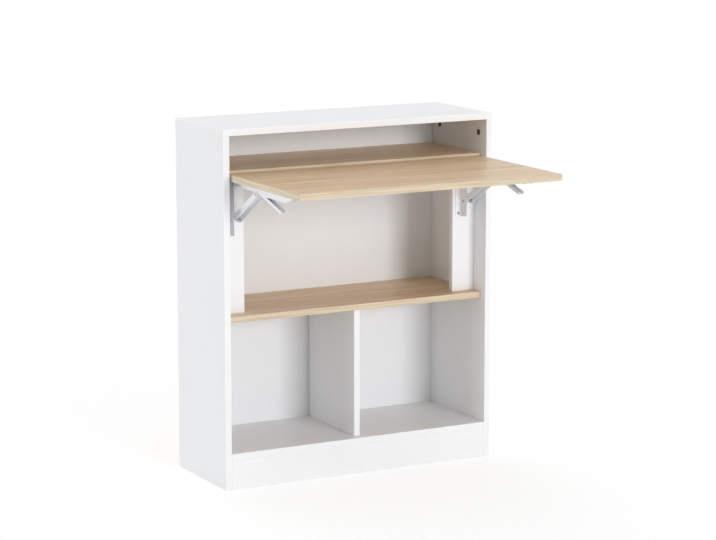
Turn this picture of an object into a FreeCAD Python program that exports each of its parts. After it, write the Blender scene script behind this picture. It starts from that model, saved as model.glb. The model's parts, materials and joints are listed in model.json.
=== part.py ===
"""Folding desk cabinet: a free-standing shelf unit whose oak flap swings down on two folding brackets.

Millimetres, +Z up. The floor is Z = 0, X = 0 is the middle of the width, and Y = 0 is halfway
between the nail heads on the back and the front edge of the opened flap. The flap is modelled open.
"""
import FreeCAD
import Part
import math
import os

# Carcass: sides, top and shelves of melamine-faced board
carcass_width = 700.0
carcass_depth = 260.0
carcass_height = 830.0
board = 15.0
back_thickness = 3.0
back_side_margin = 1.0
back_floor_gap = 3.0
plinth_height = 70.0
lower_compartment_height = 300.0
divider_back_gap = 6.0
top_compartment_height = 82.0
desk_shelf_inset = 26.0
post_width = 60.0
post_thickness = 15.0

# Flap: the fold-down desktop in front of the fixed desk shelf
flap_thickness = 15.0
flap_reach = 337.0
flap_step = 5.5
flap_side_gap = 4.0
flap_rear_gap = 2.0
folded_flap_inset = 4.5
folded_flap_clearance = 1.5

# Knock-down fittings: cam locks with their bolts, wooden dowels and back-panel nails
cam_radius = 7.5
cam_depth = 12.5
cam_setback = 34.0
bolt_radius = 3.5
bolt_thread_radius = 2.5
bolt_thread_length = 11.0
bolt_bore_play = 0.5
fitting_play = 0.1
fitting_edge_distance = 37.0
shelf_cam_inset = 90.0
dowel_radius = 4.0
dowel_in_edge = 20.0
dowel_in_face = 10.0
dowel_spacing = 32.0
nail_radius = 1.0
nail_length = 16.0
nail_head_radius = 2.5
nail_head_height = 0.8
nails_per_side = 6
nails_per_shelf = 4

# Folding bracket: a stamped wall leg on the post, a table leg under the flap and a twin-bar strut
sheet = 1.5
bracket_post_margin = 7.0
wall_leg_width = 43.0
wall_leg_wing = 16.0
wing_corner_radius = 4.0
flange_corner_radius = 4.0
wall_leg_top_drop = 4.5
wall_leg_bottom_drop = 132.5
wall_flange_depth = 27.0
wall_flange_slant = 3.0
hinge_forward = 22.0
hinge_ear_radius = 9.0
hinge_ear_gap = 1.0
strut_ear_radius = 6.5
strut_pivot_drop = 95.5
strut_length = 145.0
strut_width = 13.0
strut_thickness = 2.0
strut_side_gap = 0.4
strut_back_gap = 1.0
table_leg_reach = 315.5
table_leg_rear_margin = 2.0
table_flange_depth = 15.0
table_flange_tip_depth = 6.0
table_flange_tip_length = 20.0
table_flange_gap = 0.5
knee_flange_depth = 16.5
knee_rise_length = 16.0
belly_rise_length = 16.0
belly_fall_length = 12.0
belly_tip_distance = 6.0
knee_clearance = 0.5
folded_knee_clearance = 1.0
pin_radius = 3.0
pin_head_radius = 4.5
pin_head_height = 1.3
running_play = 0.05
spacer_radius = 6.0

# Release lever inside the table leg
lever_tip_setback = 68.0
lever_hang_degrees = 16.0
lever_hub_radius = 4.5
lever_half_height = 3.6
lever_side_gap = 0.5
lever_knee_reach = 21.0
lever_knee_clearance = 0.35
lever_pin_radius = 1.75

# Bracket screws
screw_radius = 1.75
screw_length = 12.0
screw_head_radius = 3.5
screw_head_height = 2.0
wall_screw_top_margin = 20.0
web_screw_pin_distance = 10.0
wing_screw_inset = 8.0
table_screw_end_margin = 22.0

# Places worked out from the driving sizes
half_width = carcass_width / 2
inner_half = half_width - board
front_y = (flap_reach - carcass_depth - nail_head_height) / 2
back_y = front_y + carcass_depth
back_face_y = back_y - back_thickness
flap_front_y = front_y - flap_reach
top_underside = carcass_height - board
bottom_shelf_top = plinth_height + board
middle_shelf_underside = bottom_shelf_top + lower_compartment_height
middle_shelf_top = middle_shelf_underside + board
desk_shelf_top = top_underside - top_compartment_height
desk_shelf_underside = desk_shelf_top - board
flap_top = desk_shelf_top - flap_step
flap_underside = flap_top - flap_thickness
flap_rear_y = front_y + desk_shelf_inset - flap_rear_gap
hinge_drop = hinge_ear_radius + sheet + hinge_ear_gap
folded_flap_back = folded_flap_inset + flap_thickness
shelf_inset = folded_flap_back + folded_flap_clearance
post_inset = folded_flap_back + hinge_drop + hinge_forward
post_face_y = front_y + post_inset

# Bracket layers across the width, from the left edge of the wall leg
left_flange_x = wall_leg_wing
right_flange_x = wall_leg_width - sheet
left_bar_x = left_flange_x + sheet + strut_side_gap
right_bar_x = right_flange_x - strut_side_gap - strut_thickness
left_table_flange_x = left_bar_x + strut_thickness + table_flange_gap
right_table_flange_x = right_bar_x - table_flange_gap - sheet
lever_left_x = left_table_flange_x + sheet + lever_side_gap
lever_right_x = right_table_flange_x - lever_side_gap
bracket_middle_x = (left_flange_x + wall_leg_width) / 2
plate_rear_forward = post_face_y - flap_rear_y + table_leg_rear_margin

# Post dowels keep off the wing screws: one sits midway between them and one midway below the wall leg
wing_screw_drops = (wall_leg_top_drop + wall_screw_top_margin, wall_leg_bottom_drop - wing_screw_inset)
post_dowel_high_z = flap_underside - sum(wing_screw_drops) / 2
post_dowel_low_z = (middle_shelf_top + flap_underside - wall_leg_bottom_drop) / 2

# Strut: open, its knee pin lies under the table leg's flanges; folded, it hangs straight down and the
# pin stays clear of the flanges' deepest stretch, the belly
strut_pivot_forward = sheet + strut_back_gap + strut_width / 2
knee_drop = knee_flange_depth + knee_clearance + pin_radius
strut_rise = strut_pivot_drop - knee_drop
strut_angle = math.asin(strut_rise / strut_length)
knee_forward = strut_pivot_forward + strut_length * math.cos(strut_angle)
folded_pin_depth = hinge_drop + hinge_forward - strut_pivot_forward - pin_radius
belly_depth = folded_pin_depth - folded_knee_clearance
belly_front = table_leg_reach - table_flange_tip_length - belly_tip_distance

# Lever: it hangs from its pivot and passes close above the knee pin
lever_hang = math.radians(lever_hang_degrees)
lever_pin_offset = lever_half_height + lever_knee_clearance + pin_radius
lever_knee_rise = (lever_pin_offset + lever_knee_reach * math.sin(lever_hang)) / math.cos(lever_hang)
lever_pivot_forward = knee_forward - lever_knee_reach
lever_pivot_drop = knee_drop - lever_knee_rise
lever_length = (table_leg_reach - lever_tip_setback - lever_pivot_forward) / math.cos(lever_hang)

bracket_left_edges = {
    "left": -inner_half + bracket_post_margin,
    "right": inner_half - post_width + bracket_post_margin,
}
match_distance = 0.01
across = FreeCAD.Vector(1, 0, 0)
back = FreeCAD.Vector(0, 1, 0)
up = FreeCAD.Vector(0, 0, 1)


def slab(x0, x1, y0, y1, z0, z1):
    """A rectangular board between two corners."""
    return Part.makeBox(x1 - x0, y1 - y0, z1 - z0, FreeCAD.Vector(x0, y0, z0))


def rod(start, direction, radius, length):
    """A round bar from a start point along a direction."""
    return Part.makeCylinder(radius, length, start, direction)


def joined(shapes):
    """Overlapping shapes as one solid."""
    return shapes[0].multiFuse(shapes[1:]).removeSplitter()


def spot(x, forward, drop):
    """A point of a bracket: forward of the post's face and below the flap's underside."""
    return FreeCAD.Vector(x, post_face_y - forward, flap_underside - drop)


def plate(x, thickness, points):
    """A flat sheet piece across the width, outlined by (forward, drop) points."""
    corners = [spot(x, forward, drop) for forward, drop in points]
    outline = Part.makePolygon(corners + corners[:1])
    return Part.Face(outline).extrude(across * thickness)


def disc(x, thickness, forward, drop, radius):
    """A round plate or a pin that lies across the width."""
    return rod(spot(x, forward, drop), across, radius, thickness)


def eased(flange, corners, radius):
    """A flange with its outline rounded at the given (forward, drop) corners."""
    sharp = []
    for edge in flange.Edges:
        middle = edge.CenterOfMass
        for forward, drop in corners:
            if middle.distanceToPoint(spot(middle.x, forward, drop)) < match_distance:
                sharp.append(edge)
    return flange.makeFillet(radius, sharp)


def wing_rounded(base, left):
    """A base plate with the two free corners of its screw wing rounded."""
    limit = left + match_distance
    corners = [edge for edge in base.Edges if edge.BoundBox.XMax < limit and edge.Length < 2 * sheet]
    return base.makeFillet(wing_corner_radius, corners)


def riveted_pin(x0, x1, forward, drop):
    """A pin across the width with a flat rivet head outside each end."""
    shank = disc(x0, x1 - x0, forward, drop, pin_radius)
    left_head = disc(x0 - pin_head_height, pin_head_height, forward, drop, pin_head_radius)
    right_head = disc(x1, pin_head_height, forward, drop, pin_head_radius)
    return joined([shank, left_head, right_head])


def carcass_boards():
    """The plain boards of the cabinet before any hole is drilled."""
    shelf_front = front_y + shelf_inset
    desk_front = front_y + desk_shelf_inset
    post_back_y = post_face_y + post_thickness
    divider_back_y = back_face_y - divider_back_gap
    post_inner = inner_half - post_width
    back_half = half_width - back_side_margin
    return {
        "left_side_panel": slab(-half_width, -inner_half, front_y, back_face_y, 0, top_underside),
        "right_side_panel": slab(inner_half, half_width, front_y, back_face_y, 0, top_underside),
        "top_panel": slab(-half_width, half_width, front_y, back_y, top_underside, carcass_height),
        "bottom_shelf": slab(
            -inner_half, inner_half, front_y, back_face_y, plinth_height, bottom_shelf_top),
        "plinth_board": slab(-inner_half, inner_half, front_y, front_y + board, 0, plinth_height),
        "middle_shelf": slab(
            -inner_half, inner_half, shelf_front, back_face_y, middle_shelf_underside, middle_shelf_top),
        "desk_shelf": slab(
            -inner_half, inner_half, desk_front, back_face_y, desk_shelf_underside, desk_shelf_top),
        "centre_divider": slab(
            -board / 2, board / 2, shelf_front, divider_back_y, bottom_shelf_top, middle_shelf_underside),
        "left_post": slab(
            -inner_half, -post_inner, post_face_y, post_back_y, middle_shelf_top, desk_shelf_underside),
        "right_post": slab(
            post_inner, inner_half, post_face_y, post_back_y, middle_shelf_top, desk_shelf_underside),
        "back_panel": slab(-back_half, back_half, back_face_y, back_y, back_floor_gap, top_underside),
    }


def drill(boards, name, tool):
    """Cut one hole into one board."""
    boards[name] = boards[name].cut(tool)


def add_cam(boards, fittings, edge_board, face_board, end, inward, cam_face):
    """One cam lock: the cam in edge_board, its bolt driven into face_board.

    end is the bolt's point on the seam, inward points from the seam into edge_board, and cam_face
    points out of the surface that the cam is let into.
    """
    centre = end + inward * cam_setback
    surface = centre + cam_face * (board / 2)
    drill(boards, edge_board, rod(surface, cam_face * -1, cam_radius + fitting_play, cam_depth))
    drill(boards, edge_board, rod(end, inward, bolt_radius + bolt_bore_play, cam_setback))
    drill(boards, face_board, rod(end, inward * -1, bolt_thread_radius, bolt_thread_length))
    cam = rod(surface, cam_face * -1, cam_radius, cam_depth)
    socket = rod(centre, inward * -1, bolt_radius + fitting_play, cam_setback)
    fittings["cam_locks"].append(cam.cut(socket))
    shank = rod(end, inward, bolt_radius, cam_setback)
    thread = rod(end, inward * -1, bolt_thread_radius, bolt_thread_length)
    fittings["cam_bolts"].append(joined([shank, thread]))


def add_dowel(boards, fittings, edge_board, face_board, end, inward):
    """One glued dowel across a seam, long in the board's edge and short in the other's face."""
    start = end - inward * dowel_in_face
    dowel = rod(start, inward, dowel_radius, dowel_in_face + dowel_in_edge)
    drill(boards, edge_board, dowel)
    drill(boards, face_board, dowel)
    fittings["wooden_dowels"].append(dowel)


def join_carcass(boards, fittings):
    """Cam locks and dowels at every seam of the cabinet."""
    sides = {"left_side_panel": -1, "right_side_panel": 1}
    for side, sign in sides.items():
        outward = across * sign
        seam_x = sign * inner_half
        edge_x = sign * (half_width - board / 2)
        front_cam_y = front_y + fitting_edge_distance
        rear_cam_y = back_face_y - fitting_edge_distance
        for y, step in ((front_cam_y, dowel_spacing), (rear_cam_y, -dowel_spacing)):
            top_seam = FreeCAD.Vector(edge_x, y, top_underside)
            add_cam(boards, fittings, side, "top_panel", top_seam, up * -1, outward * -1)
            add_dowel(boards, fittings, side, "top_panel", top_seam + back * step, up * -1)
        shelves = {
            "bottom_shelf": (front_y, bottom_shelf_top),
            "middle_shelf": (front_y + shelf_inset, middle_shelf_top),
            "desk_shelf": (front_y + desk_shelf_inset, desk_shelf_top),
        }
        for shelf, (shelf_front, shelf_top) in shelves.items():
            shelf_cam_y = shelf_front + shelf_cam_inset
            for y, step in ((shelf_cam_y, dowel_spacing), (rear_cam_y, -dowel_spacing)):
                seam = FreeCAD.Vector(seam_x, y, shelf_top - board / 2)
                add_cam(boards, fittings, shelf, side, seam, outward * -1, up * -1)
                add_dowel(boards, fittings, shelf, side, seam + back * step, outward * -1)
        plinth_seam = FreeCAD.Vector(seam_x, front_y + board / 2, plinth_height / 2)
        add_dowel(boards, fittings, "plinth_board", side, plinth_seam, outward * -1)
        post = side.replace("side_panel", "post")
        post_middle_y = post_face_y + post_thickness / 2
        for z in (post_dowel_low_z, post_dowel_high_z):
            add_dowel(boards, fittings, post, side, FreeCAD.Vector(seam_x, post_middle_y, z), outward * -1)
        post_x = sign * (inner_half - post_width / 2)
        foot = FreeCAD.Vector(post_x, post_middle_y, middle_shelf_top)
        head = FreeCAD.Vector(post_x, post_middle_y, desk_shelf_underside)
        add_dowel(boards, fittings, post, "middle_shelf", foot, up)
        add_dowel(boards, fittings, post, "desk_shelf", head, up * -1)
    for y in (front_y + shelf_inset + fitting_edge_distance, back_face_y - fitting_edge_distance):
        divider_foot = FreeCAD.Vector(0, y, bottom_shelf_top)
        divider_head = FreeCAD.Vector(0, y, middle_shelf_underside)
        add_dowel(boards, fittings, "centre_divider", "bottom_shelf", divider_foot, up)
        add_dowel(boards, fittings, "centre_divider", "middle_shelf", divider_head, up * -1)


def add_nail(boards, fittings, board_name, x, z):
    """One nail through the back panel into the rear edge of a board."""
    start = FreeCAD.Vector(x, back_y, z)
    shank = rod(start, back * -1, nail_radius, nail_length)
    head = rod(start, back, nail_head_radius, nail_head_height)
    drill(boards, board_name, shank)
    drill(boards, "back_panel", shank)
    fittings["back_nails"].append(joined([shank, head]))


def nail_back_panel(boards, fittings):
    """Nails down both sides and along the shelves, spaced evenly."""
    side_step = (top_underside - plinth_height) / nails_per_side
    shelf_step = 2 * inner_half / nails_per_shelf
    for index in range(nails_per_side):
        z = plinth_height + side_step * (index + 0.5)
        add_nail(boards, fittings, "left_side_panel", board / 2 - half_width, z)
        add_nail(boards, fittings, "right_side_panel", half_width - board / 2, z)
    for shelf, shelf_top in (
            ("bottom_shelf", bottom_shelf_top), ("middle_shelf", middle_shelf_top),
            ("desk_shelf", desk_shelf_top)):
        for index in range(nails_per_shelf):
            x = shelf_step * (index + 0.5) - inner_half
            add_nail(boards, fittings, shelf, x, shelf_top - board / 2)


def wall_leg(left):
    """Stamped wall leg: a base plate, a screw wing and a flange on its left and two ears on its right."""
    base = plate(left, wall_leg_width, [
        (0, wall_leg_top_drop), (sheet, wall_leg_top_drop),
        (sheet, wall_leg_bottom_drop), (0, wall_leg_bottom_drop)])
    flange_points = [
        (0, wall_leg_top_drop), (hinge_forward, wall_leg_top_drop), (wall_flange_depth, hinge_drop),
        (wall_flange_depth, wall_leg_bottom_drop - wall_flange_slant), (sheet, wall_leg_bottom_drop),
        (0, wall_leg_bottom_drop)]
    left_flange = plate(left + left_flange_x, sheet, flange_points)
    ears = (
        (hinge_forward, hinge_drop, hinge_ear_radius),
        (strut_pivot_forward, strut_pivot_drop, strut_ear_radius))
    pieces = [
        wing_rounded(base, left),
        eased(left_flange, flange_points[3:4], flange_corner_radius),
        disc(left + left_flange_x, sheet, hinge_forward, hinge_drop, hinge_ear_radius)]
    for forward, drop, radius in ears:
        neck_top = max(drop - radius, wall_leg_top_drop)
        pieces.append(plate(left + right_flange_x, sheet, [
            (0, neck_top), (forward, neck_top), (forward, drop + radius), (0, drop + radius)]))
        pieces.append(disc(left + right_flange_x, sheet, forward, drop, radius))
    leg = joined(pieces)
    for forward, drop, _ in ears:
        leg = leg.cut(disc(left, wall_leg_width, forward, drop, pin_radius))
    return leg


def table_leg(left):
    """Stamped table leg: a plate under the flap with a screw wing and two flanges."""
    plate_right = right_table_flange_x + sheet
    top = plate(left, plate_right, [
        (plate_rear_forward, 0), (table_leg_reach, 0),
        (table_leg_reach, sheet), (plate_rear_forward, sheet)])
    ear_top = hinge_drop - hinge_ear_radius
    belly_start = knee_forward + belly_rise_length
    belly_end = belly_front - belly_fall_length
    flange_points = [
        (plate_rear_forward, 0), (table_leg_reach, 0), (table_leg_reach, table_flange_tip_depth),
        (table_leg_reach - table_flange_tip_length, table_flange_depth),
        (belly_front, table_flange_depth), (belly_end, belly_depth),
        (belly_start, belly_depth), (knee_forward, knee_flange_depth),
        (knee_forward - knee_rise_length, table_flange_depth),
        (hinge_forward, table_flange_depth), (hinge_forward, ear_top), (plate_rear_forward, ear_top)]
    pieces = [wing_rounded(top, left)]
    for flange_x in (left_table_flange_x, right_table_flange_x):
        flange = plate(left + flange_x, sheet, flange_points)
        pieces.append(eased(flange, flange_points[2:7], flange_corner_radius))
        pieces.append(disc(left + flange_x, sheet, hinge_forward, hinge_drop, hinge_ear_radius))
    leg = joined(pieces)
    leg = leg.cut(disc(left, wall_leg_width, hinge_forward, hinge_drop, pin_radius + running_play))
    return leg.cut(disc(left, wall_leg_width, lever_pivot_forward, lever_pivot_drop, lever_pin_radius))


def strut_bar(x):
    """One flat bar of the strut, round at both ends, turning on the wall leg's pin."""
    along = (math.cos(strut_angle), -math.sin(strut_angle))
    normal = (math.sin(strut_angle), math.cos(strut_angle))
    corners = []
    for distance, side in ((0, 1), (strut_length, 1), (strut_length, -1), (0, -1)):
        forward = strut_pivot_forward + along[0] * distance + normal[0] * side * strut_width / 2
        drop = strut_pivot_drop + along[1] * distance + normal[1] * side * strut_width / 2
        corners.append((forward, drop))
    bar = joined([
        plate(x, strut_thickness, corners),
        disc(x, strut_thickness, strut_pivot_forward, strut_pivot_drop, strut_width / 2),
        disc(x, strut_thickness, knee_forward, knee_drop, strut_width / 2)])
    bore_radius = pin_radius + running_play
    bar = bar.cut(disc(x, strut_thickness, strut_pivot_forward, strut_pivot_drop, bore_radius))
    return bar.cut(disc(x, strut_thickness, knee_forward, knee_drop, pin_radius))


def lever_strip(x, thickness, reach, offsets):
    """A straight strip along the hanging lever: its two ends along it and its two edges across it."""
    corners = []
    for distance, offset in (
            (reach[0], offsets[0]), (reach[1], offsets[0]), (reach[1], offsets[1]), (reach[0], offsets[1])):
        forward = lever_pivot_forward + math.cos(lever_hang) * distance - math.sin(lever_hang) * offset
        drop = lever_pivot_drop + math.sin(lever_hang) * distance + math.cos(lever_hang) * offset
        corners.append((forward, drop))
    return plate(x, thickness, corners)


def release_lever(left):
    """Sheet lever: two cheeks on the pivot pin and a finger web along the lower side."""
    x = left + lever_left_x
    width = lever_right_x - lever_left_x
    body = joined([
        lever_strip(x, width, (0, lever_length), (-lever_half_height, lever_half_height)),
        disc(x, width, lever_pivot_forward, lever_pivot_drop, lever_hub_radius)])
    hollow = lever_strip(
        x + sheet, width - 2 * sheet, (-2 * lever_hub_radius, 2 * lever_length),
        (-2 * lever_hub_radius, lever_half_height - sheet))
    bore = disc(x, width, lever_pivot_forward, lever_pivot_drop, lever_pin_radius + running_play)
    return body.cut(hollow).cut(bore)


def screw(seat, inward):
    """A pan-head wood screw whose head seats on the bracket sheet."""
    head = rod(seat, inward * -1, screw_head_radius, screw_head_height)
    shank = rod(seat, inward, screw_radius, screw_length)
    return joined([head, shank])


def screw_bracket(shapes, groups, side, left):
    """Wood screws through the wall leg into the post and through the table leg into the flap."""
    wing_x = left + wing_screw_inset
    web_x = left + bracket_middle_x
    wall_places = (
        (wing_x, wing_screw_drops[0]), (wing_x, wing_screw_drops[1]),
        (web_x, hinge_drop + web_screw_pin_distance),
        (web_x, strut_pivot_drop - web_screw_pin_distance))
    for x, drop in wall_places:
        seat = spot(x, sheet, drop)
        shank = rod(seat, back, screw_radius, screw_length)
        for name in (side + "_wall_leg", side + "_post"):
            shapes[name] = shapes[name].cut(shank)
        groups["wall_leg_screws"].append(screw(seat, back))
    table_rear = plate_rear_forward + table_screw_end_margin
    table_front = table_leg_reach - table_screw_end_margin
    table_places = (
        (wing_x, table_rear), (wing_x, (table_rear + table_front) / 2),
        (wing_x, table_front), (web_x, table_front))
    for x, forward in table_places:
        seat = spot(x, forward, sheet)
        shank = rod(seat, up, screw_radius, screw_length)
        for name in (side + "_table_leg", "flap_board"):
            shapes[name] = shapes[name].cut(shank)
        groups["table_leg_screws"].append(screw(seat, up))


def add_bracket(shapes, groups, side, left):
    """All the pieces of one folding bracket."""
    shapes[side + "_wall_leg"] = wall_leg(left)
    shapes[side + "_table_leg"] = table_leg(left)
    shapes[side + "_strut_left_bar"] = strut_bar(left + left_bar_x)
    shapes[side + "_strut_right_bar"] = strut_bar(left + right_bar_x)
    shapes[side + "_release_lever"] = release_lever(left)
    outer_left = left + left_flange_x
    outer_right = left + wall_leg_width
    groups["corner_pins"].append(riveted_pin(outer_left, outer_right, hinge_forward, hinge_drop))
    groups["strut_pins"].append(riveted_pin(outer_left, outer_right, strut_pivot_forward, strut_pivot_drop))
    knee_left = left + left_bar_x
    knee_right = left + right_bar_x + strut_thickness
    shapes[side + "_knee_pin"] = riveted_pin(knee_left, knee_right, knee_forward, knee_drop)
    table_left = left + left_table_flange_x
    table_width = right_table_flange_x + sheet - left_table_flange_x
    groups["lever_pins"].append(
        disc(table_left, table_width, lever_pivot_forward, lever_pivot_drop, lever_pin_radius))
    spacer_length = left_table_flange_x - left_flange_x - sheet - running_play
    for x in (left + left_flange_x + sheet, left + right_flange_x - spacer_length):
        spacer = disc(x, spacer_length, hinge_forward, hinge_drop, spacer_radius)
        bore = disc(x, spacer_length, hinge_forward, hinge_drop, pin_radius)
        groups["corner_spacers"].append(spacer.cut(bore))
    screw_bracket(shapes, groups, side, left)


def build():
    """Every node of the part: single solids by name, and groups of like fasteners."""
    groups = {name: [] for name in (
        "cam_locks", "cam_bolts", "wooden_dowels", "back_nails", "wall_leg_screws", "table_leg_screws",
        "corner_pins", "corner_spacers", "strut_pins", "lever_pins")}
    shapes = carcass_boards()
    join_carcass(shapes, groups)
    nail_back_panel(shapes, groups)
    flap_half_width = inner_half - flap_side_gap
    shapes["flap_board"] = slab(
        -flap_half_width, flap_half_width, flap_front_y, flap_rear_y, flap_underside, flap_top)
    for side, left in bracket_left_edges.items():
        add_bracket(shapes, groups, side, left)
    for name, solids in groups.items():
        shapes[name] = Part.makeCompound(solids)
    return shapes


def report_joints():
    """Print the joint places and turns that the assembly record repeats."""
    strut_turn = math.degrees(strut_angle) + 90
    for label, forward, drop in (
            ("flap hinge", hinge_forward, hinge_drop),
            ("strut pivot", strut_pivot_forward, strut_pivot_drop),
            ("lever pivot", lever_pivot_forward, lever_pivot_drop)):
        place = spot(0, forward, drop)
        print(label, "y", round(place.y, 4), "z", round(place.z, 4))
    print("strut turns", round(strut_turn, 4), "degrees while the flap folds 90")


os.makedirs("parts", exist_ok=True)
for node_name, node_shape in build().items():
    node_shape.exportStep(os.path.join("parts", node_name + ".step"))
    print(node_name, len(node_shape.Solids), "solids, valid", node_shape.isValid())
report_joints()
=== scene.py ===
# %% [markdown]
# # A folding desk cabinet, dressed
# The real object is a flat-pack cabinet: white melamine boards, oak-faced shelves, and a desktop flap on
# two folding steel brackets. Its exact solids are made elsewhere and loaded here as a fixed frame. This
# lesson only adds what the eye sees: eased board edges, real screw and rivet heads, and the finishes.

# %% Load the frame and keep the size it came with
import bmesh
import bpy
import json
import math
from mathutils import Euler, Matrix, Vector


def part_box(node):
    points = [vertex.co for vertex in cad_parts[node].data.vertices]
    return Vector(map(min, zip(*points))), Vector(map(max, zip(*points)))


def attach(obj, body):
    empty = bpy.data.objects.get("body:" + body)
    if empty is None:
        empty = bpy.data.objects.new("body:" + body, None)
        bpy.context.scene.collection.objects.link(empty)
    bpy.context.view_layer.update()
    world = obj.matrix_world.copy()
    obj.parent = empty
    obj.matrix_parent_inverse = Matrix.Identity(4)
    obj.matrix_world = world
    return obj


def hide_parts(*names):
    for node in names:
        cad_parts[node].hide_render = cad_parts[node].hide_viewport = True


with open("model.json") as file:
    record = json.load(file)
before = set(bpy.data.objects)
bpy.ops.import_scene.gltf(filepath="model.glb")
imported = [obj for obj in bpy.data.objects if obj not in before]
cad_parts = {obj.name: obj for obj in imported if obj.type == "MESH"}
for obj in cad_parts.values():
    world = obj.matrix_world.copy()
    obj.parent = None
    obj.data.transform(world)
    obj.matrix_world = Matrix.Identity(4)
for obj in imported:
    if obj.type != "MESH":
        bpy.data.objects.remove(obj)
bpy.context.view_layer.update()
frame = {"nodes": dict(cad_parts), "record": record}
MM = 0.001

# %% [markdown]
# ## Two helpers
# Colours are written as sRGB hex, the way a paint card gives them, and one function turns them to the
# linear numbers that shaders want. Every node tree below, for finishes and for fasteners alike, is built
# by one function that adds a node, sets its options and fills its inputs with values or with links. A Mix
# node has sockets of the same name for every kind of data, so the ones in use are named here by number.

# %% Helpers for colours and nodes
FACTOR = 0
VECTOR_A = 4
VECTOR_B = 5
MIXED_VECTOR = 1
COLOUR_A = 6
COLOUR_B = 7
MIXED_COLOUR = 2


def linear(hex_colour):
    """An sRGB hex colour as linear red, green, blue and alpha."""
    channels = [int(hex_colour[i:i + 2], 16) / 255 for i in (1, 3, 5)]
    bright = [c / 12.92 if c <= 0.04045 else ((c + 0.055) / 1.055) ** 2.4 for c in channels]
    return (*bright, 1.0)


def add_node(tree, kind, inputs=None, **options):
    """One node with its options, its inputs filled by values or by other nodes' outputs.

    A list is for an input that takes several links.
    """
    node = tree.nodes.new(kind)
    for name, value in options.items():
        setattr(node, name, value)
    for name, value in (inputs or {}).items():
        sources = value if isinstance(value, list) else [value]
        for source in sources:
            if isinstance(source, bpy.types.NodeSocket):
                tree.links.new(source, node.inputs[name])
            else:
                node.inputs[name].default_value = source
    return node


print("mid grey in linear light:", round(linear("#808080")[0], 3))

# %% [markdown]
# ## Camera
# The photograph was taken with a long lens from the cabinet's left, a little above it. A camera could be
# placed by eye, but then the corners would not fall where the photograph has them. So its place and turn
# were found by matching the corners of the cabinet and of the flap. No depth of field is used.

# %% Camera at the photograph's viewing angle
image_width_px = 716
focal_length_px = 2585.9
sensor_width_mm = 36.0
camera_place_mm = (-2801.6, -5142.1, 1540.7)
camera_turn_degrees = 28.33
camera_tilt_degrees = 10.175

camera = bpy.data.objects.new("photo_camera", bpy.data.cameras.new("photo_camera"))
camera.data.sensor_width = sensor_width_mm
camera.data.lens = sensor_width_mm * focal_length_px / image_width_px
camera.location = Vector(camera_place_mm) * MM
up_from_straight_down = math.radians(90 - camera_tilt_degrees)
camera.rotation_euler = Euler((up_from_straight_down, 0, math.radians(-camera_turn_degrees)))
bpy.context.scene.collection.objects.link(camera)
bpy.context.scene.camera = camera
print("lens in mm:", round(camera.data.lens, 1))

# %% [markdown]
# ## White studio
# The picture has a pure white ground. The world is white where the camera, a mirror or glass sees it, and
# a softer white for the light that it gives. More light would whiten the ground too, but it would also
# wash out the boards.

# %% World
scene = bpy.context.scene
scene.view_settings.view_transform = "Standard"
world_light = 0.49


def seen_directly(tree):
    """1 for rays from the camera, from mirrors and through glass, and 0 for the rays that carry light."""
    rays = add_node(tree, "ShaderNodeLightPath").outputs
    seen = add_node(tree, "ShaderNodeMath", {
        0: rays["Is Camera Ray"], 1: rays["Is Glossy Ray"]}, operation="MAXIMUM")
    seen = add_node(tree, "ShaderNodeMath", {
        0: seen.outputs[0], 1: rays["Is Transmission Ray"]}, operation="MAXIMUM")
    return seen.outputs[0]


world = bpy.data.worlds.new("white_studio")
scene.world = world
world.use_nodes = True
tree = world.node_tree
tree.nodes.clear()
level = add_node(tree, "ShaderNodeMapRange", {
    "Value": seen_directly(tree), "To Min": world_light, "To Max": 1.0})
sky = add_node(tree, "ShaderNodeBackground", {"Color": linear("#FFFFFF"), "Strength": level.outputs[0]})
add_node(tree, "ShaderNodeOutputWorld", {"Surface": sky.outputs[0]})
print("share of light from the world:", world_light)

# %% [markdown]
# ## Floor
# A matt white floor turns pale grey under soft light. This one also glows for the camera alone, so it
# looks white, and its matt part still takes the cabinet's soft shadow.

# %% Floor that keeps the shadow
floor_glow = 0.70
floor_matt_seen = 0.36
floor_matt_lit = 0.90
floor_side = 60.0

floor_finish = bpy.data.materials.new("white_studio_floor")
floor_finish.use_nodes = True
tree = floor_finish.node_tree
tree.nodes.clear()
seen = seen_directly(tree)
matt_level = add_node(tree, "ShaderNodeMapRange", {
    "Value": seen, "To Min": floor_matt_lit, "To Max": floor_matt_seen})
matt = add_node(tree, "ShaderNodeBsdfDiffuse", {"Color": matt_level.outputs[0]})
glow_level = add_node(tree, "ShaderNodeMath", {0: seen, 1: floor_glow}, operation="MULTIPLY")
glow = add_node(tree, "ShaderNodeEmission", {
    "Color": linear("#FFFFFF"), "Strength": glow_level.outputs[0]})
both = add_node(tree, "ShaderNodeAddShader", {0: matt.outputs[0], 1: glow.outputs[0]})
add_node(tree, "ShaderNodeOutputMaterial", {"Surface": both.outputs[0]})

floor_mesh = bpy.data.meshes.new("studio_floor")
half_floor = floor_side / 2
floor_mesh.from_pydata(
    [(-half_floor, -half_floor, 0), (half_floor, -half_floor, 0), (half_floor, half_floor, 0),
     (-half_floor, half_floor, 0)], [], [(0, 1, 2, 3)])
floor_mesh.materials.append(floor_finish)
floor = bpy.data.objects.new("studio_floor", floor_mesh)
scene.collection.objects.link(floor)
print("floor side in m:", floor_side)

# %% [markdown]
# ## Soft lamps
# Five wide sun lamps do the work of large soft boxes: a low one in front, which reaches the back panel,
# one at each side and one behind, which pass the open front, and one above for the top. Area lamps could
# do it too, but a sun gives the same level at any distance, so each share says how bright it is.


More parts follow.
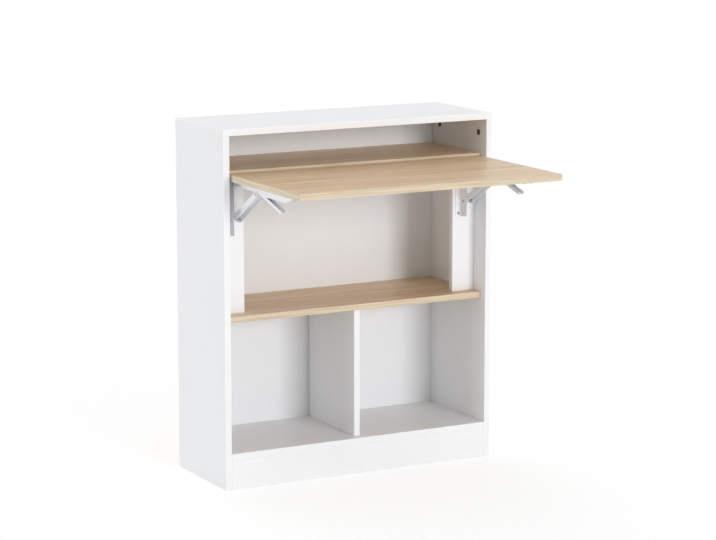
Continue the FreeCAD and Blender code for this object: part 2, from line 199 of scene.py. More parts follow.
# %% Lamps
def soft_light(name, towards_lamp, share, spread_degrees):
    """A wide sun lamp; share is the brightness it gives a white surface that faces it.

    Mirrors show the white world and not the lamp, so a board seen against the light isn't washed out.
    """
    lamp = bpy.data.lights.new(name, "SUN")
    lamp.energy = share * math.pi
    lamp.angle = math.radians(spread_degrees)
    holder = bpy.data.objects.new(name, lamp)
    holder.rotation_euler = Vector(towards_lamp).to_track_quat("Z", "Y").to_euler()
    holder.visible_glossy = False
    scene.collection.objects.link(holder)


for name, towards_lamp, share, spread_degrees in (
        ("front_soft_light", (0.17, -1.0, 0.13), 0.475, 22.0),
        ("left_soft_light", (-1.0, 0.06, 0.25), 0.235, 30.0),
        ("right_soft_light", (1.0, 0.06, 0.25), 0.25, 30.0),
        ("rear_soft_light", (0.0, 1.0, 0.30), 0.25, 40.0),
        ("top_soft_light", (-0.1, 0.3, 1.0), 0.15, 60.0)):
    soft_light(name, towards_lamp, share, spread_degrees)

# %% [markdown]
# ## White board
# Melamine is a printed, resin-soaked paper pressed on chipboard. It is an even neutral white with a very
# fine pearl texture and a satin sheen. A smooth white would look like wet paint, so a noise breaks the
# sheen. It is drawn a little coarser than the real texture, which would be too fine to show. The eased
# edges, which a face attribute marks, are painted a touch whiter: a painted highlight along the rounded
# edges.


# %% Finish: white melamine board
def start_finish(name):
    """A new material with an empty tree, its shader, and the object coordinates in millimetres."""
    finish = bpy.data.materials.new(name)
    finish.use_nodes = True
    tree = finish.node_tree
    tree.nodes.clear()
    shader = add_node(tree, "ShaderNodeBsdfPrincipled")
    add_node(tree, "ShaderNodeOutputMaterial", {"Surface": shader.outputs[0]})
    place = add_node(tree, "ShaderNodeTexCoord")
    in_mm = add_node(tree, "ShaderNodeVectorMath", {
        0: place.outputs["Object"], "Scale": 1 / MM}, operation="SCALE")
    return finish, tree, shader, in_mm.outputs[0]


def dress(tree, shader, colour, roughness, emboss):
    """Link a finish's colour, roughness and bump to its shader."""
    for socket, source in (("Base Color", colour), ("Roughness", roughness), ("Normal", emboss)):
        tree.links.new(source, shader.inputs[socket])


def melamine_white():
    """Satin white melamine with a fine pearl emboss, and a painted highlight: the eased edges a touch
    whiter.
    """
    finish, tree, shader, in_mm = start_finish("white_melamine_board")
    pearl_mm = 1.6
    cloud_mm = 140.0
    pearl = add_node(tree, "ShaderNodeTexNoise", {"Vector": in_mm, "Scale": 1 / pearl_mm, "Detail": 2.0})
    cloud = add_node(tree, "ShaderNodeTexNoise", {"Vector": in_mm, "Scale": 1 / cloud_mm, "Detail": 3.0})
    tone = add_node(tree, "ShaderNodeMix", {
        FACTOR: cloud.outputs[0], COLOUR_A: linear("#F0F1F3"), COLOUR_B: linear("#F5F6F8")},
        data_type="RGBA")
    # Painted highlight: the eased, rounded edges are coloured a touch whiter than the faces.
    painted_edge_highlight = add_node(tree, "ShaderNodeAttribute", attribute_name="eased")
    whole = add_node(tree, "ShaderNodeMix", {
        FACTOR: painted_edge_highlight.outputs["Fac"], COLOUR_A: tone.outputs[MIXED_COLOUR],
        COLOUR_B: linear("#F8F8F8")}, data_type="RGBA")
    rough = add_node(tree, "ShaderNodeMapRange", {
        "Value": pearl.outputs[0], "To Min": 0.40, "To Max": 0.52})
    emboss = add_node(tree, "ShaderNodeBump", {
        "Height": pearl.outputs[0], "Strength": 0.06, "Distance": 0.1 * MM})
    dress(tree, shader, whole.outputs[MIXED_COLOUR], rough.outputs[0], emboss.outputs[0])
    shader.inputs["IOR"].default_value = 1.5
    return finish


white_board = melamine_white()
print("made", white_board.name)

# %% [markdown]
# ## Oak-faced board
# The shelves and the flap carry an oak print: long soft bands of tan, fine streaks, and short dark pores,
# all running along the board's length. The edging strip is a paler cream with the same fine lines. One
# wave texture would repeat like a stripe, so bands, streaks and pores are three noises, each stretched
# along the grain by its own real length and width.


# %% The way the grain runs
def grain_place(tree, in_mm, facing):
    """The place in millimetres with the grain along X; on a board's ends X and Y are swapped."""
    parts = add_node(tree, "ShaderNodeSeparateXYZ", {0: in_mm})
    turned = add_node(tree, "ShaderNodeCombineXYZ", {
        "X": parts.outputs["Y"], "Y": parts.outputs["X"], "Z": parts.outputs["Z"]})
    on_end = add_node(tree, "ShaderNodeMath", {0: facing["X"]}, operation="ABSOLUTE")
    along = add_node(tree, "ShaderNodeMix", {
        FACTOR: on_end.outputs[0], VECTOR_A: in_mm, VECTOR_B: turned.outputs[0]}, data_type="VECTOR")
    return along.outputs[MIXED_VECTOR]


def grain(tree, place, size_mm, detail, distortion=0.0):
    """Grain, fibre or grit: a noise stretched to a real length, width and height."""
    squeezed = add_node(tree, "ShaderNodeVectorMath", {
        0: place, 1: tuple(1 / side for side in size_mm)}, operation="MULTIPLY")
    noise = add_node(tree, "ShaderNodeTexNoise", {
        "Vector": squeezed.outputs[0], "Scale": 1.0, "Detail": detail, "Distortion": distortion})
    return noise.outputs[0]


band_mm = (620.0, 34.0, 34.0)
streak_mm = (150.0, 3.4, 3.4)
pore_mm = (26.0, 1.3, 1.3)
print("oak streaks in mm, length and width:", streak_mm[:2])


# %% Finish: oak-faced board
def oak_print(tree, bands, streaks, pores):
    """The colour of the board's broad faces."""
    tone = add_node(tree, "ShaderNodeValToRGB", {0: bands})
    ramp = zip(tone.color_ramp.elements, (0.32, 0.68), ("#DAB991", "#F1D8B5"))
    for element, position, colour in ramp:
        element.position = position
        element.color = linear(colour)
    streaked = add_node(tree, "ShaderNodeMapRange", {
        "Value": streaks, "From Min": 0.36, "From Max": 0.58, "To Min": 0.68, "To Max": 0.0})
    tanned = add_node(tree, "ShaderNodeMix", {
        FACTOR: streaked.outputs[0], COLOUR_A: tone.outputs[0], COLOUR_B: linear("#BE9A73")},
        data_type="RGBA")
    dark_pore = add_node(tree, "ShaderNodeMapRange", {
        "Value": pores, "From Min": 0.27, "From Max": 0.38, "To Min": 0.55, "To Max": 0.0})
    face = add_node(tree, "ShaderNodeMix", {
        FACTOR: dark_pore.outputs[0], COLOUR_A: tanned.outputs[MIXED_COLOUR],
        COLOUR_B: linear("#97785A")}, data_type="RGBA")
    return face.outputs[MIXED_COLOUR]


def oak_edging(tree, streaks):
    """The colour of the narrow edges."""
    line = add_node(tree, "ShaderNodeMapRange", {
        "Value": streaks, "From Min": 0.35, "From Max": 0.62, "To Min": 0.0, "To Max": 1.0})
    edge = add_node(tree, "ShaderNodeMix", {
        FACTOR: line.outputs[0], COLOUR_A: linear("#CDB799"), COLOUR_B: linear("#DFD1B9")},
        data_type="RGBA")
    return edge.outputs[MIXED_COLOUR]


def oak_faced():
    """Satin oak print with its grain along X, and paler edging on the narrow faces."""
    finish, tree, shader, in_mm = start_finish("light_oak_faced_board")
    level_enough = 0.8
    normal = add_node(tree, "ShaderNodeTexCoord").outputs["Normal"]
    facing = add_node(tree, "ShaderNodeSeparateXYZ", {0: normal}).outputs
    on_face = add_node(tree, "ShaderNodeMath", {0: facing["Z"]}, operation="ABSOLUTE")
    on_face = add_node(tree, "ShaderNodeMath", {
        0: on_face.outputs[0], 1: level_enough}, operation="GREATER_THAN")
    place = grain_place(tree, in_mm, facing)
    bands = grain(tree, place, band_mm, detail=3.0, distortion=0.6)
    streaks = grain(tree, place, streak_mm, detail=3.0, distortion=0.2)
    pores = grain(tree, place, pore_mm, detail=1.0)
    whole = add_node(tree, "ShaderNodeMix", {
        FACTOR: on_face.outputs[0], COLOUR_A: oak_edging(tree, streaks),
        COLOUR_B: oak_print(tree, bands, streaks, pores)}, data_type="RGBA")
    rough = add_node(tree, "ShaderNodeMapRange", {"Value": streaks, "To Min": 0.30, "To Max": 0.44})
    emboss = add_node(tree, "ShaderNodeBump", {"Height": pores, "Strength": 0.10, "Distance": 0.15 * MM})
    dress(tree, shader, whole.outputs[MIXED_COLOUR], rough.outputs[0], emboss.outputs[0])
    shader.inputs["IOR"].default_value = 1.5
    return finish


oak_board = oak_faced()
print("made", oak_board.name)

# %% [markdown]
# ## Back panel
# Thin hardboard is lacquered white on the side that faces the room. Its rear is left raw: brown, matt,
# with loose fibres and darker patches where the pulp was denser. Two materials on two sets of faces would
# do, but the normal tells the sides apart, so one finish serves the whole sheet. The fibres are drawn
# coarser than the real ones, which would be too fine to show.


# %% Finish: hardboard, white in front and raw behind
def raw_fibre(tree, fibres, blotch):
    """The colour of the raw side."""
    fleck = add_node(tree, "ShaderNodeMapRange", {"Value": fibres, "From Min": 0.32, "From Max": 0.68})
    pulp = add_node(tree, "ShaderNodeMix", {
        FACTOR: fleck.outputs[0], COLOUR_A: linear("#86633E"), COLOUR_B: linear("#B9956B")},
        data_type="RGBA")
    dense = add_node(tree, "ShaderNodeMapRange", {
        "Value": blotch, "From Min": 0.40, "From Max": 0.66, "To Min": 0.0, "To Max": 0.45})
    raw = add_node(tree, "ShaderNodeMix", {
        FACTOR: dense.outputs[0], COLOUR_A: pulp.outputs[MIXED_COLOUR],
        COLOUR_B: linear("#7E5E3E")}, data_type="RGBA")
    return raw.outputs[MIXED_COLOUR]


def lacquered_hardboard():
    """White lacquer on the front and raw brown fibre on the rear."""
    finish, tree, shader, in_mm = start_finish("lacquered_hardboard")
    fibre_mm = 2.2
    blotch_mm = 60.0
    turned_back = 0.5
    normal = add_node(tree, "ShaderNodeTexCoord").outputs["Normal"]
    fibres = add_node(tree, "ShaderNodeTexNoise", {
        "Vector": in_mm, "Scale": 1 / fibre_mm, "Detail": 5.0, "Distortion": 1.2}).outputs[0]
    blotch = add_node(tree, "ShaderNodeTexNoise", {
        "Vector": in_mm, "Scale": 1 / blotch_mm, "Detail": 3.0}).outputs[0]
    facing = add_node(tree, "ShaderNodeSeparateXYZ", {0: normal}).outputs
    behind = add_node(tree, "ShaderNodeMath", {
        0: facing["Y"], 1: turned_back}, operation="GREATER_THAN")
    lacquer = add_node(tree, "ShaderNodeMix", {
        FACTOR: blotch, COLOUR_A: linear("#EDEFF2"), COLOUR_B: linear("#F1F3F6")}, data_type="RGBA")
    whole = add_node(tree, "ShaderNodeMix", {
        FACTOR: behind.outputs[0], COLOUR_A: lacquer.outputs[MIXED_COLOUR],
        COLOUR_B: raw_fibre(tree, fibres, blotch)}, data_type="RGBA")
    rough = add_node(tree, "ShaderNodeMapRange", {
        "Value": behind.outputs[0], "To Min": 0.45, "To Max": 0.85})
    emboss = add_node(tree, "ShaderNodeBump", {
        "Height": fibres, "Strength": 0.15, "Distance": 0.1 * MM})
    dress(tree, shader, whole.outputs[MIXED_COLOUR], rough.outputs[0], emboss.outputs[0])
    return finish


hardboard = lacquered_hardboard()
print("made", hardboard.name)

# %% [markdown]
# ## Coated brackets
# The brackets are pressed sheet steel under white powder coat. The powder melts into a slight orange peel
# and wears thin along the edges. A plain gloss would look like plastic, so the peel bends the reflections,
# and grey steel shows in patches on the faces that the bevel marks as edges.


# %% Finish: powder coat
def powder_coat():
    """Cool white powder coat with orange peel, and grey steel showing on the rubbed edges."""
    finish, tree, shader, in_mm = start_finish("white_powder_coat")
    peel_mm = 1.1
    rub_mm = 7.0
    peel = add_node(tree, "ShaderNodeTexNoise", {"Vector": in_mm, "Scale": 1 / peel_mm, "Detail": 1.0})
    rub = add_node(tree, "ShaderNodeTexNoise", {"Vector": in_mm, "Scale": 1 / rub_mm, "Detail": 4.0})
    rim = add_node(tree, "ShaderNodeAttribute", attribute_name="eased")
    rubbed = add_node(tree, "ShaderNodeMapRange", {
        "Value": rub.outputs[0], "From Min": 0.58, "From Max": 0.70, "To Min": 0.0, "To Max": 0.5})
    bare = add_node(tree, "ShaderNodeMath", {
        0: rubbed.outputs[0], 1: rim.outputs["Fac"]}, operation="MULTIPLY")
    coat = add_node(tree, "ShaderNodeMix", {
        FACTOR: rub.outputs[0], COLOUR_A: linear("#F1F2F7"), COLOUR_B: linear("#F6F7FB")},
        data_type="RGBA")
    whole = add_node(tree, "ShaderNodeMix", {
        FACTOR: bare.outputs[0], COLOUR_A: coat.outputs[MIXED_COLOUR], COLOUR_B: linear("#B9BCC2")},
        data_type="RGBA")
    rough = add_node(tree, "ShaderNodeMapRange", {
        "Value": peel.outputs[0], "To Min": 0.28, "To Max": 0.40})
    emboss = add_node(tree, "ShaderNodeBump", {
        "Height": peel.outputs[0], "Strength": 0.12, "Distance": 0.1 * MM})
    dress(tree, shader, whole.outputs[MIXED_COLOUR], rough.outputs[0], emboss.outputs[0])
    return finish


bracket_coat = powder_coat()
print("made", bracket_coat.name)

# %% [markdown]
# ## Small fittings
# Screws, pins and nails are bright zinc plate, the cam locks are a dull zinc casting, the dowels are plain
# beech and the spacers are milky nylon. Each could have a tree of its own, but at this size they differ
# only in tone, gloss and grain, so one function makes all four. Grit is the same in every direction, and
# beech fibres are long.


# %% Finishes: zinc, beech and nylon
def grained(name, dark, light, metallic, rough_range, grain_mm):
    """A material whose tone and roughness vary with a fine grain of real length, width and height."""
    finish, tree, shader, in_mm = start_finish(name)
    fine = grain(tree, in_mm, grain_mm, detail=4.0)
    tone = add_node(tree, "ShaderNodeMix", {
        FACTOR: fine, COLOUR_A: linear(dark), COLOUR_B: linear(light)}, data_type="RGBA")
    smoothest, roughest = rough_range
    rough = add_node(tree, "ShaderNodeMapRange", {
        "Value": fine, "To Min": smoothest, "To Max": roughest})
    emboss = add_node(tree, "ShaderNodeBump", {"Height": fine, "Strength": 0.08, "Distance": 0.05 * MM})
    dress(tree, shader, tone.outputs[MIXED_COLOUR], rough.outputs[0], emboss.outputs[0])
    shader.inputs["Metallic"].default_value = metallic
    return finish


zinc_plate = grained("bright_zinc_plate", "#B4B7BA", "#D2D4D6", 1.0, (0.22, 0.38), (1.5, 1.5, 1.5))
cast_zinc = grained("dull_cast_zinc", "#4E4F52", "#6E7074", 0.8, (0.42, 0.60), (0.8, 0.8, 0.8))
beech = grained("plain_beech", "#C79F6E", "#DDBB8C", 0.0, (0.55, 0.70), (22.0, 1.4, 1.4))
nylon = grained("milky_nylon", "#E4E4DE", "#F0F0EC", 0.0, (0.35, 0.45), (3.0, 3.0, 3.0))
print("made", [finish.name for finish in (zinc_plate, cast_zinc, beech, nylon)])

# %% [markdown]
# ## Copies of the solids
# A finish can't round an edge, so a solid whose edges show is copied and the copy stands for it. The mesh
# of a solid is loose triangles. They are merged back to whole faces first, because only an edge between
# two faces can be bevelled.

# %% Copy a solid and add a piece
weld_mm = 0.001
flat_degrees = 0.5


def merged_copy(node):
    """A bmesh of a solid with its triangles merged back into flat faces."""
    mesh = bmesh.new()
    mesh.from_mesh(frame["nodes"][node].data)
    bmesh.ops.remove_doubles(mesh, verts=mesh.verts, dist=weld_mm * MM)
    bmesh.ops.dissolve_limit(
        mesh, angle_limit=math.radians(flat_degrees), verts=mesh.verts, edges=mesh.edges,
        use_dissolve_boundaries=False)
    return mesh


def body_holding(node):
    """The name of the body that a solid belongs to."""
    bodies = frame["record"]["behaviour"]["bodies"]
    return next(name for name, nodes in bodies.items() if node in nodes)


def add_piece(name, mesh, body):
    """A new object of a finished mesh that rides on a body."""
    piece = bpy.data.objects.new(name, mesh)
    scene.collection.objects.link(piece)
    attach(piece, body)
    return piece


print("flap_board rides on", body_holding("flap_board"))

# %% [markdown]
# ## Eased boards
# A sawn board with edging never has a knife edge: the strip is trimmed with a small radius that catches a
# line of light. A bevel modifier would round the holes as well, so the bevel is made here on chosen edges.
# It cuts inwards, so the size stays the same.

# %% Round the edges of the boards
corner_degrees = 50
on_limit_mm = 0.01


def ease(node, radius_mm, steps, finish, outline_only):
    """Replace a solid by a copy with rounded edges; outline_only keeps to the edges of its box."""
    mesh = merged_copy(node)
    low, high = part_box(node)

    def limits_touched(vert):
        """How many sides of the box a corner lies on."""
        offsets = [min(abs(vert.co[i] - low[i]), abs(vert.co[i] - high[i])) for i in range(3)]
        return sum(offset < on_limit_mm * MM for offset in offsets)

    sharp = []
    for edge in mesh.edges:
        bent = len(edge.link_faces) == 2 and edge.calc_face_angle() > math.radians(corner_degrees)
        outline = all(limits_touched(vert) >= 2 for vert in edge.verts)
        if bent and (outline or not outline_only):
            sharp.append(edge)
    mark = mesh.faces.layers.float.new("eased")
    made = bmesh.ops.bevel(
        mesh, geom=sharp, offset=radius_mm * MM, segments=steps, profile=0.5, affect="EDGES",
        clamp_overlap=False)
    for face in made["faces"]:
        face[mark] = 1.0
        face.smooth = True
    data = bpy.data.meshes.new(node + "_eased")
    mesh.to_mesh(data)
    mesh.free()
    data.materials.append(finish)
    piece = add_piece(node + "_eased", data, body_holding(node))
    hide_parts(node)


edge_radius_mm = 1.2
edge_steps = 3
white_nodes = (
    "left_side_panel", "right_side_panel", "top_panel", "bottom_shelf", "plinth_board",
    "centre_divider", "left_post", "right_post")
oak_nodes = ("middle_shelf", "desk_shelf", "flap_board")
for node in white_nodes:
    ease(node, edge_radius_mm, edge_steps, white_board, outline_only=True)
for node in oak_nodes:
    ease(node, edge_radius_mm, edge_steps, oak_board, outline_only=True)
print("eased boards:", len(white_nodes) + len(oak_nodes))

# %% [markdown]
# ## Eased sheet pieces
# Pressed steel is sheared, tumbled and coated, which leaves a fine round on every edge, the edges of holes
# included. The same function does it with a smaller radius and on all sharp edges.

# %% Round the edges of the bracket pieces
sheet_radius_mm = 0.3
sheet_steps = 2
sheet_pieces = ("wall_leg", "table_leg", "strut_left_bar", "strut_right_bar", "release_lever")
for side in ("left", "right"):
    for piece in sheet_pieces:
        node = side + "_" + piece
        ease(node, sheet_radius_mm, sheet_steps, bracket_coat, outline_only=False)
print("eased bracket pieces:", 2 * len(sheet_pieces))

# %% [markdown]
# ## Finishes on the solids that stay
# The back panel, and the fittings that are hidden inside the boards, keep their exact solids and only get
# a finish. A rounded copy of them would look no different.

# %% Finish the remaining solids
kept_solids = {
    "back_panel": hardboard, "cam_bolts": zinc_plate, "wooden_dowels": beech, "corner_spacers": nylon,
    "lever_pins": zinc_plate}
for node, finish in kept_solids.items():
    for material_slot in frame["nodes"][node].material_slots:
        material_slot.material = finish
print("finished as they are:", ", ".join(kept_solids))

# %% [markdown]
# ## Where the fasteners sit
# Like fasteners share one solid group in the frame. Its separate solids are found by walking over joined
# edges, and each one's box gives the place of a head. The places could be typed in, but they would be
# wrong as soon as a solid moved.


# %% Find the separate solids of a group
def solid_boxes(node):
    """The lowest and highest corner of every separate solid in a node, in a fixed order."""
    mesh = bmesh.new()
    mesh.from_mesh(frame["nodes"][node].data)
    bmesh.ops.remove_doubles(mesh, verts=mesh.verts, dist=weld_mm * MM)
    left = set(mesh.verts)
    boxes = []
    while left:
        grown = [left.pop()]
        for vert in grown:
            for edge in vert.link_edges:
                other = edge.other_vert(vert)
                if other in left:
                    left.remove(other)
                    grown.append(other)
        spans = [[vert.co[i] for vert in grown] for i in range(3)]
        boxes.append((Vector([min(span) for span in spans]), Vector([max(span) for span in spans])))
    mesh.free()
    return sorted(boxes, key=lambda box: tuple(box[0]))


print("separate cam locks:", len(solid_boxes("cam_locks")))

# %% [markdown]
# ## From points to fasteners
# Dozens of like screws and nails are what geometry nodes are for: a point for every fastener, with its
# turn kept as an attribute, is all that a tree needs to set a full screw, pin, nail or cam there. The
# result is kept as a plain mesh, which stands for the simpler solids.


# %% Grow fasteners on their points
def fastener_points(name, places):
    """A mesh of points, each with the turn that its fastener gets; places holds points and turns."""
    mesh = bpy.data.meshes.new(name)
    mesh.from_pydata([place for place, turn in places], [], [])
    turns = mesh.attributes.new("turn", "FLOAT_VECTOR", "POINT")
    for index, (place, turn) in enumerate(places):
        turns.data[index].vector = turn
    return bpy.data.objects.new(name, mesh)


def grow(name, tree, places, sizes, finish, body, nodes):
    """Run a fastener tree over its points and let the plain mesh that it gives replace the solids."""
    holder = fastener_points(name, places)
    scene.collection.objects.link(holder)
    maker = holder.modifiers.new(tree.name, "NODES")
    maker.node_group = tree
    values = dict(sizes, Finish=finish)
    for item in tree.interface.items_tree:
        if item.in_out == "INPUT" and item.name in values:
            maker[item.identifier] = values[item.name]
    graph = bpy.context.evaluated_depsgraph_get()
    data = bpy.data.meshes.new_from_object(holder.evaluated_get(graph))
    data.name = name
    bpy.data.objects.remove(holder)
    piece = add_piece(name, data, body)
    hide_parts(*nodes)
    print(name, "faces:", len(data.polygons))


TO_FRONT = (math.radians(90), 0, 0)
TO_BACK = (math.radians(-90), 0, 0)
TO_FLOOR = (math.radians(180), 0, 0)
TO_RIGHT = (0, math.radians(90), 0)
TO_LEFT = (0, math.radians(-90), 0)
print("ready to grow fasteners that face five ways")


# %% Open and close a fastener tree
def open_tree(name, size_names):
    """A geometry tree with named size inputs and a finish input, and the sockets of these inputs."""
    tree = bpy.data.node_groups.new(name, "GeometryNodeTree")
    tree.interface.new_socket(name="Points", in_out="INPUT", socket_type="NodeSocketGeometry")
    for size in size_names:
        tree.interface.new_socket(name=size, in_out="INPUT", socket_type="NodeSocketFloat")
    tree.interface.new_socket(name="Finish", in_out="INPUT", socket_type="NodeSocketMaterial")
    tree.interface.new_socket(name="Fasteners", in_out="OUTPUT", socket_type="NodeSocketGeometry")
    return tree, add_node(tree, "NodeGroupInput").outputs


crease_degrees = 35


def close_tree(tree, sizes, shape):
    """Set a shape on every point by its turn, realize it, shade it and give it its finish."""
    turn = add_node(tree, "GeometryNodeInputNamedAttribute", {"Name": "turn"}, data_type="FLOAT_VECTOR")
    turned = add_node(tree, "FunctionNodeEulerToRotation", {0: turn.outputs[0]})
    set_out = add_node(tree, "GeometryNodeInstanceOnPoints", {
        "Points": sizes["Points"], "Instance": shape, "Rotation": turned.outputs[0]})
    real = add_node(tree, "GeometryNodeRealizeInstances", {0: set_out.outputs[0]})
    smooth = add_node(tree, "GeometryNodeSetShadeSmooth", {0: real.outputs[0]})
    angle = add_node(tree, "GeometryNodeInputMeshEdgeAngle")
    sharp = add_node(tree, "FunctionNodeCompare", {
        0: angle.outputs[0], 1: math.radians(crease_degrees)}, operation="GREATER_THAN")
    crisp = add_node(tree, "GeometryNodeSetShadeSmooth", {
        0: smooth.outputs[0], 1: sharp.outputs[0], 2: False}, domain="EDGE")
    done = add_node(tree, "GeometryNodeSetMaterial", {0: crisp.outputs[0], "Material": sizes["Finish"]})
    add_node(tree, "NodeGroupOutput", {0: done.outputs[0]})


print("edges stay crisp above", crease_degrees, "degrees")

# %% [markdown]
# ## Heads and recesses
# A screw's head is a low dome with a cross recess for the driver. The dome is half of a flattened ball,
# and the cross is two bars cut out of it. A bump could fake the cross, but a cut is also there in the
# mesh, from any side.


# %% Geometry: dome and cross recess
def dome(tree, radius, height):
    """The upper half of a flattened ball, resting on the plane Z = 0."""
    cutter_radii = 4.0
    ball = add_node(tree, "GeometryNodeMeshUVSphere", {"Segments": 24, "Rings": 12, "Radius": 1.0})
    scale = add_node(tree, "ShaderNodeCombineXYZ", {"X": radius, "Y": radius, "Z": height})
    pressed = add_node(tree, "GeometryNodeTransform", {0: ball.outputs[0], "Scale": scale.outputs[0]})
    wide = add_node(tree, "ShaderNodeMath", {0: radius, 1: cutter_radii}, operation="MULTIPLY")
    down = add_node(tree, "ShaderNodeMath", {0: radius, 1: -cutter_radii / 2}, operation="MULTIPLY")
    side = add_node(tree, "ShaderNodeCombineXYZ", {
        "X": wide.outputs[0], "Y": wide.outputs[0], "Z": wide.outputs[0]})
    block = add_node(tree, "GeometryNodeMeshCube", {"Size": side.outputs[0]})
    sunk = add_node(tree, "ShaderNodeCombineXYZ", {"Z": down.outputs[0]})
    lower = add_node(tree, "GeometryNodeTransform", {0: block.outputs[0], "Translation": sunk.outputs[0]})
    return add_node(tree, "GeometryNodeMeshBoolean", {
        0: pressed.outputs[0], 1: lower.outputs[0]}, operation="DIFFERENCE").outputs[0]


# A bar stands half above the top level, so it is twice as tall as the depth that it reaches.
bar_height_in_depths = 2.0
deeper_bar_in_depths = 2.2


def cross_cutter(tree, length, width, depth, top):
    """Two crossed bars that reach a depth below a top level, one a little deeper for a clean cut."""
    lift = add_node(tree, "ShaderNodeCombineXYZ", {"Z": top})
    bars = []
    for along_x, along_y, height_in_depths in (
            (length, width, bar_height_in_depths), (width, length, deeper_bar_in_depths)):
        tall = add_node(tree, "ShaderNodeMath", {0: depth, 1: height_in_depths}, operation="MULTIPLY")
        size = add_node(tree, "ShaderNodeCombineXYZ", {
            "X": along_x, "Y": along_y, "Z": tall.outputs[0]})
        bar = add_node(tree, "GeometryNodeMeshCube", {"Size": size.outputs[0]})
        bars.append(add_node(tree, "GeometryNodeTransform", {
            0: bar.outputs[0], "Translation": lift.outputs[0]}).outputs[0])
    return bars


print("deeper bar of the cross:", deeper_bar_in_depths / bar_height_in_depths, "times the other")

# %% [markdown]
# ## Screws and nails
# Wood screws hold the brackets, and nails hold the back panel. One tree makes both: a domed head, with a
# cross recess where that has a depth, over a plain shank. A modelled thread would never be seen, since the
# shanks sit inside the boards.


# %% Geometry tree: headed fastener
def headed_fastener_tree():
    """A domed head, with a cross recess if that has a depth, over a plain shank along -Z."""
    tree, sizes = open_tree("headed_fastener", (
        "Head radius", "Head height", "Shank radius", "Shank length", "Recess length", "Recess width",
        "Recess depth"))
    head = dome(tree, sizes["Head radius"], sizes["Head height"])
    bars = cross_cutter(
        tree, sizes["Recess length"], sizes["Recess width"], sizes["Recess depth"], sizes["Head height"])
    slotted = add_node(tree, "GeometryNodeMeshBoolean", {0: head, 1: bars}, operation="DIFFERENCE")
    shank = add_node(tree, "GeometryNodeMeshCylinder", {
        "Vertices": 16, "Radius": sizes["Shank radius"], "Depth": sizes["Shank length"]})
    half = add_node(tree, "ShaderNodeMath", {0: sizes["Shank length"], 1: -0.5}, operation="MULTIPLY")
    down = add_node(tree, "ShaderNodeCombineXYZ", {"Z": half.outputs[0]})
    lowered = add_node(tree, "GeometryNodeTransform", {
        0: shank.outputs[0], "Translation": down.outputs[0]})
    recessed = add_node(tree, "FunctionNodeCompare", {
        0: sizes["Recess depth"], 1: 0.0}, operation="GREATER_THAN")
    top = add_node(tree, "GeometryNodeSwitch", {
        "Switch": recessed.outputs[0], "False": head, "True": slotted.outputs[0]}, input_type="GEOMETRY")
    whole = add_node(tree, "GeometryNodeJoinGeometry", {0: [top.outputs[0], lowered.outputs[0]]})
    close_tree(tree, sizes, whole.outputs[0])
    return tree


headed_fastener = headed_fastener_tree()
print("tree nodes:", len(headed_fastener.nodes))

# %% [markdown]
# ## Screws and nails in place
# The outward direction is known for each group: wall-leg screws face the front, table-leg screws face the
# floor and nails face the back. A head's seat lies one head's height in from the outer end of its solid.

# %% Grow the screws and nails
AXIS_Y = 1
AXIS_Z = 2
screw_sizes = {
    "Head radius": 3.5 * MM, "Head height": 2.0 * MM, "Shank radius": 1.75 * MM, "Shank length": 12.0 * MM,
    "Recess length": 3.6 * MM, "Recess width": 0.8 * MM, "Recess depth": 1.1 * MM}
nail_sizes = {
    "Head radius": 2.5 * MM, "Head height": 0.8 * MM, "Shank radius": 1.0 * MM, "Shank length": 16.0 * MM,
    "Recess depth": 0.0}


def head_seats(node, axis, outward, head_height, turn):
    """The seat and turn of each head; outward is 1 or -1, the way a head faces on its axis."""
    seats = []
    for low, high in solid_boxes(node):
        seat = (low + high) / 2
        outer_end = high[axis] if outward > 0 else low[axis]
        seat[axis] = outer_end - outward * head_height
        seats.append((seat, turn))
    return seats


for name, node, axis, outward, turn, sizes, body in (
        ("wall_leg_screw_heads", "wall_leg_screws", AXIS_Y, -1, TO_FRONT, screw_sizes, "carcass"),
        ("table_leg_screw_heads", "table_leg_screws", AXIS_Z, -1, TO_FLOOR, screw_sizes, "flap"),
        ("back_nail_heads", "back_nails", AXIS_Y, 1, TO_BACK, nail_sizes, "carcass")):
    seats = head_seats(node, axis, outward, sizes["Head height"], turn)
    grow(name, headed_fastener, seats, sizes, zinc_plate, body, [node])

# %% [markdown]
# ## Riveted pins
# The brackets turn on pins whose ends are peened over into low domes. They are set after the sheet pieces
# are coated, so their heads stay bright zinc and show as small grey dots on the white. A second tree makes
# them, because a pin has a head at each end.


# %% Geometry tree: riveted pin, and the pins in place
def riveted_pin_tree():
    """A shank centred on its point along Z with a low dome on each end."""
    tree, sizes = open_tree("riveted_pin", ("Head radius", "Head height", "Shank radius", "Shank length"))
    head = dome(tree, sizes["Head radius"], sizes["Head height"])
    half = add_node(tree, "ShaderNodeMath", {0: sizes["Shank length"], 1: 0.5}, operation="MULTIPLY")
    minus = add_node(tree, "ShaderNodeMath", {0: half.outputs[0], 1: -1.0}, operation="MULTIPLY")
    lift = add_node(tree, "ShaderNodeCombineXYZ", {"Z": half.outputs[0]})
    sink = add_node(tree, "ShaderNodeCombineXYZ", {"Z": minus.outputs[0]})
    upper = add_node(tree, "GeometryNodeTransform", {0: head, "Translation": lift.outputs[0]})
    lower = add_node(tree, "GeometryNodeTransform", {
        0: head, "Translation": sink.outputs[0], "Rotation": (math.pi, 0, 0)})
    shank = add_node(tree, "GeometryNodeMeshCylinder", {
        "Vertices": 24, "Radius": sizes["Shank radius"], "Depth": sizes["Shank length"]})
    whole = add_node(tree, "GeometryNodeJoinGeometry", {
        0: [upper.outputs[0], lower.outputs[0], shank.outputs[0]]})
    close_tree(tree, sizes, whole.outputs[0])
    return tree


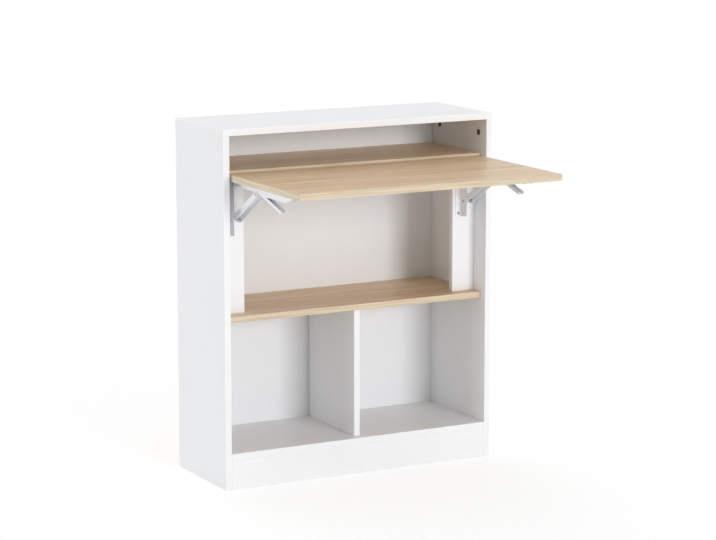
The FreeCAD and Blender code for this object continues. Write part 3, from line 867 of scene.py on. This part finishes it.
riveted_pin = riveted_pin_tree()
pin_head_mm = 1.3
for name, nodes, body in (
        ("carcass_pin_heads", ("corner_pins", "strut_pins"), "carcass"),
        ("left_knee_pin_heads", ("left_knee_pin",), "left_strut"),
        ("right_knee_pin_heads", ("right_knee_pin",), "right_strut")):
    boxes = [box for node in nodes for box in solid_boxes(node)]
    first_low, first_high = boxes[0]
    pin_sizes = {
        "Head radius": 4.5 * MM, "Head height": pin_head_mm * MM, "Shank radius": 3.0 * MM,
        "Shank length": first_high.x - first_low.x - 2 * pin_head_mm * MM}
    middles = [((low + high) / 2, TO_RIGHT) for low, high in boxes]
    grow(name, riveted_pin, middles, pin_sizes, zinc_plate, body, nodes)

# %% [markdown]
# ## Cam locks
# Each cam is a cast drum let flush into the board, with a cross recess for a screwdriver and an arrow
# notch on its rim. The drum's open face looks out of the board's surface. The recess and the notch are cut
# from the mesh, since the upper cam shows in plain sight.


# %% Geometry tree: cam lock, and the cams in place
def cam_lock_tree():
    """A drum below Z = 0 with a cross recess and a three-sided arrow notch towards +X."""
    tree, sizes = open_tree("cam_lock", (
        "Drum radius", "Drum depth", "Recess length", "Recess width", "Recess depth", "Arrow radius"))
    arrow_place_in_radii = 0.74
    drum = add_node(tree, "GeometryNodeMeshCylinder", {
        "Vertices": 40, "Radius": sizes["Drum radius"], "Depth": sizes["Drum depth"]})
    half = add_node(tree, "ShaderNodeMath", {0: sizes["Drum depth"], 1: -0.5}, operation="MULTIPLY")
    down = add_node(tree, "ShaderNodeCombineXYZ", {"Z": half.outputs[0]})
    sunk = add_node(tree, "GeometryNodeTransform", {0: drum.outputs[0], "Translation": down.outputs[0]})
    bars = cross_cutter(tree, sizes["Recess length"], sizes["Recess width"], sizes["Recess depth"], 0.0)
    arrow = add_node(tree, "GeometryNodeMeshCylinder", {
        "Vertices": 3, "Radius": sizes["Arrow radius"], "Depth": sizes["Recess depth"]})
    out = add_node(tree, "ShaderNodeMath", {
        0: sizes["Drum radius"], 1: arrow_place_in_radii}, operation="MULTIPLY")
    aside = add_node(tree, "ShaderNodeCombineXYZ", {"X": out.outputs[0]})
    notch = add_node(tree, "GeometryNodeTransform", {
        0: arrow.outputs[0], "Translation": aside.outputs[0]})
    cut = add_node(tree, "GeometryNodeMeshBoolean", {
        0: sunk.outputs[0], 1: bars + [notch.outputs[0]]}, operation="DIFFERENCE")
    close_tree(tree, sizes, cut.outputs[0])
    return tree


cam_lock = cam_lock_tree()
cam_sizes = {
    "Drum radius": 7.4 * MM, "Drum depth": 12.4 * MM, "Recess length": 6.4 * MM, "Recess width": 1.5 * MM,
    "Recess depth": 1.6 * MM, "Arrow radius": 1.3 * MM}
cam_seats = []
for low, high in solid_boxes("cam_locks"):
    middle = (low + high) / 2
    size = high - low
    # A drum is shorter than it is wide, so its short side tells which way it looks.
    if size.z < size.x:
        cam_seats.append(((middle.x, middle.y, low.z), TO_FLOOR))
    elif middle.x > 0:
        cam_seats.append(((low.x, middle.y, middle.z), TO_LEFT))
    else:
        cam_seats.append(((high.x, middle.y, middle.z), TO_RIGHT))
grow("cam_lock_drums", cam_lock, cam_seats, cam_sizes, cast_zinc, "carcass", ["cam_locks"])
